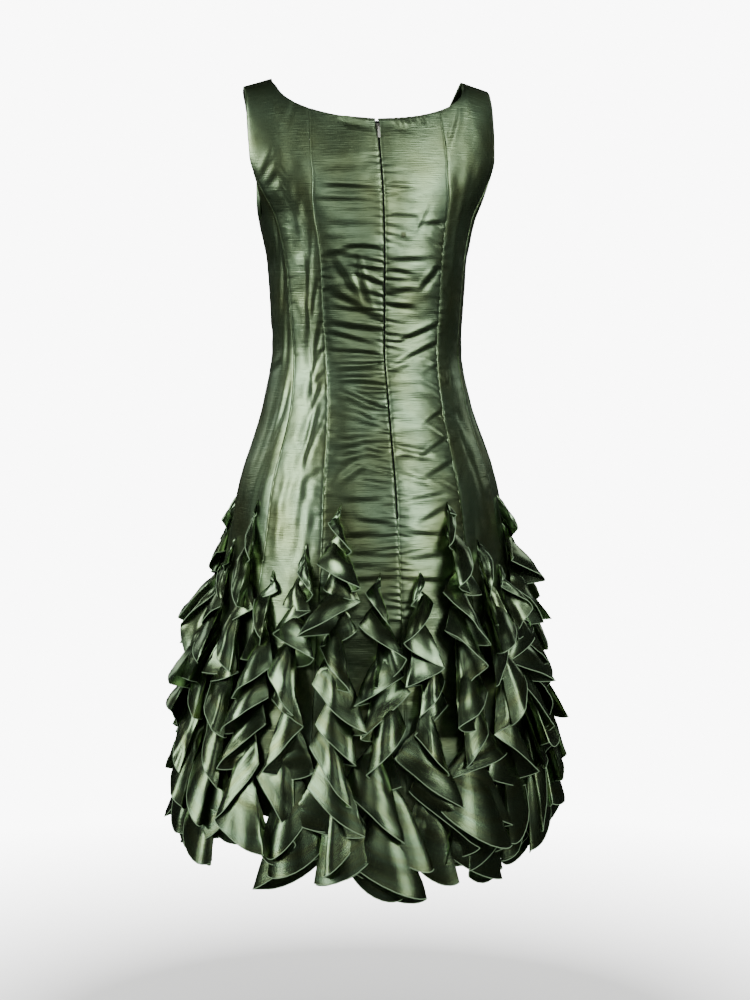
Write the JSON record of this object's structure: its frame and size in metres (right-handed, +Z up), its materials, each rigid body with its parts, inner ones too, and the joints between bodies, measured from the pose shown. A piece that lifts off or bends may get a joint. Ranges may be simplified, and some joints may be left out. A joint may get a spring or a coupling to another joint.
{
  "type": "satin dress",
  "caption": "Sleeveless tea-length satin dress with princess seams, a centre back zip and cascade ruffles covering the skirt from hip to hem, in its worn shape.",
  "frame": {"origin": "midway between the two shoulder seams, where the wearer's shoulders hold the dress up", "axes": "+Z up, +X to the wearer's left, +Y to the back of the dress, where the zip is"},
  "size_m": [0.6165, 0.5442, 1.1402],
  "materials": {
    "satin": "satin",
    "zip_tape": "matte",
    "zip_metal": "polished"
  },
  "bodies": {
    "garment": {"center_back_left": "satin", "center_back_right": "satin", "side_back_left": "satin", "side_back_right": "satin", "side_front_left": "satin", "side_front_right": "satin", "center_front": "satin", "ruffle_left_01": "satin", "ruffle_left_02": "satin", "ruffle_left_03": "satin", "ruffle_left_04": "satin", "ruffle_left_05": "satin", "ruffle_left_06": "satin", "ruffle_left_07": "satin", "ruffle_left_08": "satin", "ruffle_left_09": "satin", "ruffle_left_10": "satin", "ruffle_left_11": "satin", "ruffle_left_12": "satin", "ruffle_right_01": "satin", "ruffle_right_02": "satin", "ruffle_right_03": "satin", "ruffle_right_04": "satin", "ruffle_right_05": "satin", "ruffle_right_06": "satin", "ruffle_right_07": "satin", "ruffle_right_08": "satin", "ruffle_right_09": "satin", "ruffle_right_10": "satin", "ruffle_right_11": "satin", "ruffle_right_12": "satin", "zip_chain": "zip_tape", "zip_slider": "zip_metal"},
    "zip_pull": {"zip_pull": "zip_metal"}
  },
  "joints": [
    {"name": "zip_pull_swing", "type": "hinge", "parent": "garment", "child": "zip_pull", "pos_m": [0, 0.06716, -0.06287], "axis": [1, 0, 0], "range_deg": [0, 150]}
  ]
}
